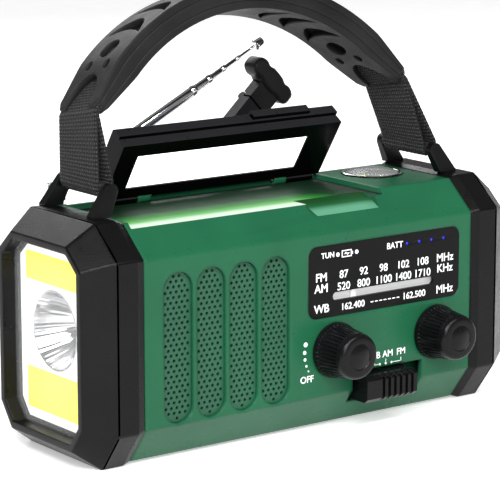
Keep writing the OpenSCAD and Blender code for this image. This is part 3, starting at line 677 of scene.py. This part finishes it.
def tray():
    """The tray's floor, left open over the finger notch: a sheet with painted shade at the back and the
    panel's light painted on as a glow towards the front.
    """
    loop = [(-76.9, -24.0), (3.9, -24.0), (3.9, -15.2), (38.1, -15.2), (38.1, -24.0), (41.9, -24.0),
            (41.9, 19.3), (-76.9, 19.3)]
    obj = outline_mesh("tray_floor", [loop], 0.06)
    placed(obj, at(0, 0, TRAY_Z))
    # Painted shade: black at the back under the panel. Painted light: the glow grows through green to a
    # near-white strip at the front edge.
    stops = ((0.0, (0.0, 0.0, 0.0)), (0.3, (0.0, 0.03, 0.006)), (0.7, (0.03, 0.30, 0.03)),
             (0.9, (0.16, 0.66, 0.13)), (1.0, (0.95, 1.15, 0.95)))
    material = painted_glow_green("painted_light_tray", (8, -21.5), (44, 4), stops, 0.8)
    finish_mesh(obj, material, "case", smooth=False)


tray()


def notch():
    """The finger notch's floor, which slopes down to the front, with the panel's light painted on it as a
    glow.
    """
    # Painted light: the panel's glow, growing brighter towards the front
    stops = ((0.0, (0.005, 0.09, 0.01)), (0.5, (0.02, 0.22, 0.06)), (1.0, (0.27, 0.80, 0.50)))
    material = painted_glow_green("painted_light_notch", (-17, -26), (60, 30), stops, 0.55)
    plan = [(4.1, -15.1), (4.1, -25.0), (6.3, -28.7), (36.3, -28.7), (37.9, -22.4), (37.9, -15.1)]
    top = [(x, y, TRAY_Z + 0.03 + NOTCH_FALL * (y - NOTCH_BACK)) for x, y in plan]
    verts = top + [(x, y, z - 0.05) for x, y, z in top]
    n = len(plan)
    faces = [tuple(range(n)), tuple(range(2 * n - 1, n - 1, -1))]
    faces += [(k, n + k, n + (k + 1) % n, (k + 1) % n) for k in range(n)]
    obj = mesh_piece("notch_floor", verts, faces)
    finish_mesh(obj, material, "case", smooth=False)


notch()

# ---------- lamp ----------


def reflector():
    """A bowl with fine radial flutes, which break what it mirrors into streaks."""
    rings, segs = 14, 240
    inner, outer, depth = 3.3, 14.8, 14.9
    verts, faces = [], []
    for i in range(rings + 1):
        r = inner + (outer - inner) * i / rings
        x = depth * (1 - (i / rings) ** 2)
        for k in range(segs):
            t = 2 * math.pi * k / segs
            wave = math.sin(13 * t + 0.4) + 0.7 * math.sin(29 * t + 1.1) + 0.5 * math.sin(47 * t)
            q = r * (1 + 0.005 * wave) - 0.15
            verts.append((x, q * math.cos(t), q * math.sin(t)))
    for i in range(rings):
        for k in range(segs):
            n = (k + 1) % segs
            faces.append((i * segs + k, i * segs + n, (i + 1) * segs + n, (i + 1) * segs + k))
    obj = mesh_piece("lamp_bowl", verts, faces)
    placed(obj, at(LAMP_X, 0, LAMP_Z))
    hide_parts("lamp_reflector")
    finish_mesh(obj, MIRROR, "case", sharp=60)
    ring = mesh_piece("lamp_ring", *lathe_ring([(0.3, 14.7), (-0.1, 14.9), (-0.15, 15.3), (0.05, 15.6)], 96))
    placed(ring, at(LAMP_X, 0, LAMP_Z))
    finish_mesh(ring, MIRROR, "case", sharp=60)


reflector()

# ---------- antenna ----------

ANTENNA = at(-74, 32.5, 95) @ turned(-27, "Y")


def antenna():
    """Five nested rods. The first carries the elbow's lug and pin, the last the button at the tip."""
    length = 74
    radii = (2.3, 1.8, 1.35, 0.95, 0.6)
    reach = (0, 9, 17, 25, 33)
    names = ("antenna_tube", "antenna_section_2", "antenna_section_3", "antenna_section_4", "antenna_tip")
    for i, (r, out, node) in enumerate(zip(radii, reach, names)):
        end = length + out
        start = 4.6 + out + 3 * i
        profile = [(start, r * 0.9), (start + 0.3, r), (end - 3.2, r), (end - 3.0, r - 0.12),
                   (end - 2.6, r - 0.12), (end - 2.4, r), (end - 1.0, r), (end - 0.7, r - 0.1),
                   (end - 0.3, r - 0.25), (end, r - 0.4)]
        parts = [mesh_piece("tube", *lathe(profile, 40))]
        if i == 0:
            parts.append(mesh_piece("lug", *lathe([(-2.0, 1.0), (-1.5, 1.7), (4.4, 1.75), (5.2, 1.75)], 24)))
            parts[-1].data.transform(Matrix.Diagonal((1, 0.6, 1, 1)))
            pin = mesh_piece("pin", *lathe([(-3.6, 0.8), (-3.4, 1.05), (3.4, 1.05), (3.6, 0.8)], 24))
            parts.append(placed(pin, turned(90, "Z")))
        if i == 4:
            tip = [(end - 0.5, 0.7), (end, 1.8), (end + 0.4, 2.2), (end + 3.2, 2.2), (end + 3.8, 1.8),
                   (end + 4, 1.2)]
            parts.append(mesh_piece("button", *lathe(tip, 32)))
        obj = join("rod_%d" % (i + 1), parts)
        placed(obj, ANTENNA)
        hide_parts(node)
        finish_mesh(obj, CHROME, "antenna_%d" % (i + 1), sharp=40)


antenna()

# ---------- handle ----------

# The bracket bars' Y and Z, how far out they are, and the handle's lean about them
BAR = (3.5, 101.5)
BAR_X = 78.5
LEAN = 11
# The grip's arch: half its angle, inner radius, thickness, and the straight run at each end
ARCH, GRIP_R, GRIP_T, STRAIGHT = 44, 80, 10.5, 20
GRIP_X = -4
ARCH_Z = 125 + STRAIGHT * math.sin(math.radians(ARCH)) - GRIP_R * math.cos(math.radians(ARCH))
LEANING = at(0, BAR[0], BAR[1]) @ turned(-LEAN, "X") @ at(0, -BAR[0], -BAR[1])
SPAN = math.radians(ARCH) * (GRIP_R + GRIP_T / 2)


def bent(s, y, n):
    """Where a point of the flat grip goes: s from the top, y across, n out from the inner face, in mm."""
    side = 1 if s >= 0 else -1
    a = min(abs(s), SPAN) / (GRIP_R + GRIP_T / 2)
    past = max(0, abs(s) - SPAN)
    mid = GRIP_T / 2
    n = mid + (n - mid) * (1 - 0.52 * min(1, past / STRAIGHT))
    r = GRIP_R + n
    x = side * (r * math.sin(a) + past * math.cos(a))
    z = r * math.cos(a) - past * math.sin(a)
    return LEANING @ (Vector((GRIP_X + x, BAR[0] + y, ARCH_Z + z)) * MM)


def crescent(c, side, w, t0, t1, n=20):
    """A curved slot across the grip, its horns pointing to the nearer end."""
    outer, inner = [], []
    for i in range(n + 1):
        u = -1 + 2 * i / n
        y = u * w
        outer.append((c - side * t0 * (1 - u * u), y))
        inner.append((c - side * t1 * (1 - u * u), y))
    return outer + inner[::-1]


def grip():
    """The grip as three flat layers and two rivets, cut into short lengths and bent to the arch."""
    total = SPAN + STRAIGHT
    half = 13.5

    def plan():
        """The grip's outline with a notch at each end for the webbing."""
        pts = []
        for side in (1, -1):
            e = side * total
            pts += [(e - side * 3, -side * half), (e, -side * (half - 2)), (e, -side * 9.2)]
            for i in range(13):
                t = math.pi * i / 12
                pts.append((e - side * (15 * math.sin(t)), -side * 8.2 * math.cos(t)))
            pts += [(e, side * 9.2), (e, side * (half - 2)), (e - side * 3, side * half)]
        return pts

    holes = []
    for side in (1, -1):
        for y in (-6, 6):
            holes.append([(side * (total - 19) + 2.0 * math.cos(t), y + 1.4 * math.sin(t))
                          for t in [2 * math.pi * i / 14 for i in range(14)]])
        holes.append(circle(side * (total - 27), 0, 4.3, 24))
        holes.append(crescent(side * (total - 35), side, 10.2, 2.6, 9.5))
        holes.append(crescent(side * (total - 49), side, 10.2, 2.6, 9.0))
        holes.append(crescent(side * (total - 62), side, 9.6, 2.2, 6.5))
    plates = []
    layers = ((7.4, 10.5, [plan()] + holes), (0.0, 3.1, [plan()] + holes), (3.0, 7.5, [plan()]))
    for low, high, loops in layers:
        p = outline_mesh("grip_layer", loops, high - low, 0.55, 2)
        p.data.transform(Matrix.Translation((0, 0, (low + high) / 2 * MM)))
        plates.append(p)
    for side in (1, -1):
        rivet = lathe([(7.4, 3.2), (8.4, 3.2), (8.8, 2.9), (8.9, 2.0), (8.7, 0.0)], 28)
        m = mesh_piece("rivet", *rivet)
        m.data.transform(Matrix.Translation((side * (total - 27) * MM, 0, 0)) @ turned(-90, "Y"))
        plates.append(m)
    obj = join("handle_grip", plates)
    bm = bmesh.new()
    bm.from_mesh(obj.data)
    s = -total
    while s < total:
        s += 3.0
        geom = bm.verts[:] + bm.edges[:] + bm.faces[:]
        bmesh.ops.bisect_plane(bm, geom=geom, plane_co=(s * MM, 0, 0), plane_no=(1, 0, 0), dist=1e-7)
    for v in bm.verts:
        v.co = bent(v.co.x / MM, v.co.y / MM, v.co.z / MM)
    bmesh.ops.recalc_face_normals(bm, faces=bm.faces)
    bm.to_mesh(obj.data)
    bm.free()
    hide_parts("grip", "grip_rivets")
    finish_mesh(obj, RUBBER, "handle", sharp=40)


grip()


def strap(name, node, side):
    """Webbing from the grip's end down, round the bar and back up, with its ribs in the mesh."""
    bar_x = side * BAR_X
    width, thick = 26.4, 1.3
    rib_pitch = 1.4
    total = SPAN + STRAIGHT
    loop_r = 3.2

    def on_grip(s, n):
        return lambda y: bent(side * (total + s), y, n)

    def flat(x, z):
        return lambda y: Vector((x, BAR[0] + y, z)) * MM

    def mix(f, g, t):
        return lambda y: f(y) * (1 - t) + g(y) * t

    path = []
    outer_top, outer_low = on_grip(1.0, 6.0), flat(bar_x + side * loop_r, BAR[1] + 3)
    inner_top, inner_low = on_grip(1.0, 4.4), flat(bar_x - side * loop_r, BAR[1] + 3)
    for s in (-14, -11, -8, -5, -2):
        path.append(on_grip(s, 6.6))
    steps = 22
    for i in range(steps + 1):
        path.append(mix(outer_top, outer_low, i / steps))
    for i in range(1, 12):
        t = math.pi * i / 12
        path.append(flat(bar_x + side * loop_r * math.cos(t), BAR[1] + 1 - loop_r * math.sin(t)))
    for i in range(steps + 1):
        path.append(mix(inner_low, inner_top, i / steps))
    for s in (-2, -5, -8, -11, -14):
        path.append(on_grip(s, 3.9))
    # An even walk along the path, so that the ribs are regular
    mids = [f(0) for f in path]
    lengths = [0]
    for a, b in zip(mids, mids[1:]):
        lengths.append(lengths[-1] + (b - a).length / MM)
    pitch = 0.35
    count = int(lengths[-1] / pitch)
    cols = 22
    rows = []
    j = 0
    for i in range(count + 1):
        d = lengths[-1] * i / count
        while j < len(lengths) - 2 and lengths[j + 1] < d:
            j += 1
        t = (d - lengths[j]) / (lengths[j + 1] - lengths[j])
        f = mix(path[j], path[j + 1], t)
        rows.append((d, [f(-width / 2 + width * c / cols) for c in range(cols + 1)]))
    verts, faces = [], []
    uvs = []
    for i, (d, row) in enumerate(rows):
        ahead = rows[min(i + 1, len(rows) - 1)][1]
        behind = rows[max(i - 1, 0)][1]
        rib = 0.24 * math.cos(2 * math.pi * d / rib_pitch)
        for face in (1, -1):
            for c in range(cols + 1):
                along = (ahead[c] - behind[c]).normalized()
                across = (row[min(c + 1, cols)] - row[max(c - 1, 0)]).normalized()
                normal = along.cross(across).normalized()
                edge = 0.25 if c in (0, cols) else 1
                shift = math.pi if int(d / rib_pitch) % 2 else 0
                cell = 0.10 * math.cos(2 * math.pi * (c / cols * width) / 2.4 + shift)
                verts.append((row[c] + normal * face * (thick / 2 * edge + (rib + cell) * edge) * MM) / MM)
                uvs.append((d, c / cols * width))
    stride = 2 * (cols + 1)
    for i in range(len(rows) - 1):
        for c in range(cols):
            a = i * stride + c
            faces.append((a, a + 1, a + stride + 1, a + stride))
            b = a + cols + 1
            faces.append((b + 1, b, b + stride, b + stride + 1))
        for c, flip in ((0, 1), (cols, 0)):
            a = i * stride + c
            b = a + cols + 1
            quad = (a, a + stride, b + stride, b)
            faces.append(quad if flip else quad[::-1])
    me = bpy.data.meshes.new(name)
    me.from_pydata([v * MM for v in verts], [], faces)
    layer = me.uv_layers.new(name="UVMap")
    for loop in me.loops:
        layer.data[loop.index].uv = uvs[loop.vertex_index]
    obj = bpy.data.objects.new(name, me)
    scene.collection.objects.link(obj)
    me.materials.append(WEB)
    me.shade_smooth()
    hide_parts(node)
    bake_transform(obj)


strap("left_webbing", "left_strap", -1)
strap("right_webbing", "right_strap", 1)

for side, body_name in ((-1, "left"), (1, "right")):
    rod = mesh_piece(body_name + "_bar", *lathe([(-13.9, 1.9), (-13.7, 2.25), (13.7, 2.25), (13.9, 1.9)], 32))
    placed(rod, at(side * BAR_X, BAR[0], BAR[1]) @ turned(90, "Z"))
    finish_mesh(rod, STEEL, "case", sharp=40)

# ---------- crank head ----------


def crank_head():
    """The folding grip across the end of the crank: a waisted bar with round ends."""
    pts = []
    half = 12.0
    for i in range(72):
        t = 2 * math.pi * i / 72
        c, s = math.cos(t), math.sin(t)
        z = half * math.copysign(abs(s) ** 0.55, s)
        wide = 4.3 - 0.9 * math.exp(-((abs(z) - 5.4) / 1.7) ** 2)
        pts.append((wide * math.copysign(abs(c) ** 0.6, c), z))
    obj = outline_mesh("crank_finger_bar", [pts], 8.6, 1.4, 3)
    place = at(*CRANK_AXIS) @ turned(-CRANK_ANGLE, "Y") @ at(97, 0, 2)
    placed(obj, place @ FRONT)
    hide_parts("crank_grip")
    finish_mesh(obj, CRANK, "crank_head", sharp=40)


crank_head()

# ---------- compass print ----------


def compass():
    """The card's ticks, needle and letters, and the chrome ring round the dome."""
    white, green = [], []
    for k in range(36):
        t = math.radians(10 * k)
        long = 1.9 if k % 9 == 0 else (1.3 if k % 3 == 0 else 0.8)
        w = 0.28 if k % 9 == 0 else 0.16
        out = 9.6
        c, s = math.cos(t), math.sin(t)
        loop = [(out * c - w * s, out * s + w * c), ((out - long) * c - w * s, (out - long) * s + w * c),
                ((out - long) * c + w * s, (out - long) * s - w * c), (out * c + w * s, out * s - w * c)]
        white.append(outline_mesh("tick", [loop], 0.08))
    for k, letter in enumerate("NESW"):
        t = math.radians(90 - 90 * k)
        cu = bpy.data.curves.new("letter", "FONT")
        cu.body = letter
        cu.size = 3.4 * MM
        cu.align_x = "CENTER"
        cu.align_y = "CENTER"
        cu.extrude = 0.00004
        cu.offset = 0.00007
        o = curve_to_mesh("letter", cu)
        green.append(placed(o, at(6.0 * math.cos(t), 6.0 * math.sin(t), 0)))
    needle = outline_mesh("needle", [[(0, 4.2), (0.9, 0), (0, -4.2), (-0.9, 0)]], 0.08)
    white.append(needle)
    # The letters take the glowing lamp material, so they carry a painted glow; they are no lamp
    for name, parts, material, slot in (("compass_ticks", white, PRINT, "white_plastic"),
                                        ("compass_letters", green, YELLOW, "phosphor")):
        obj = join(name, parts)
        placed(obj, at(*COMPASS, 88.86))
        finish_mesh(obj, material, "compass", smooth=False)
    profile = [(0, 11.15), (0.35, 11.2), (0.6, 11.6), (0.6, 12.0), (0.35, 12.35), (0, 12.4)]
    ring = mesh_piece("compass_ring", *lathe_ring(profile, 96))
    placed(ring, at(*COMPASS, 91.0) @ turned(-90, "Y"))
    finish_mesh(ring, CHROME, "case", sharp=50)


compass()

# ---------- floor ----------


def floor():
    me = bpy.data.meshes.new("floor")
    r = 6
    me.from_pydata([(-r, -r, 0), (r, -r, 0), (r, r, 0), (-r, r, 0)], [], [(0, 1, 2, 3)])
    obj = bpy.data.objects.new("floor", me)
    scene.collection.objects.link(obj)
    me.materials.append(glowing("floor", (0.86, 0.86, 0.86), (1, 1, 1), 0.42, 0.6, 60))


floor()
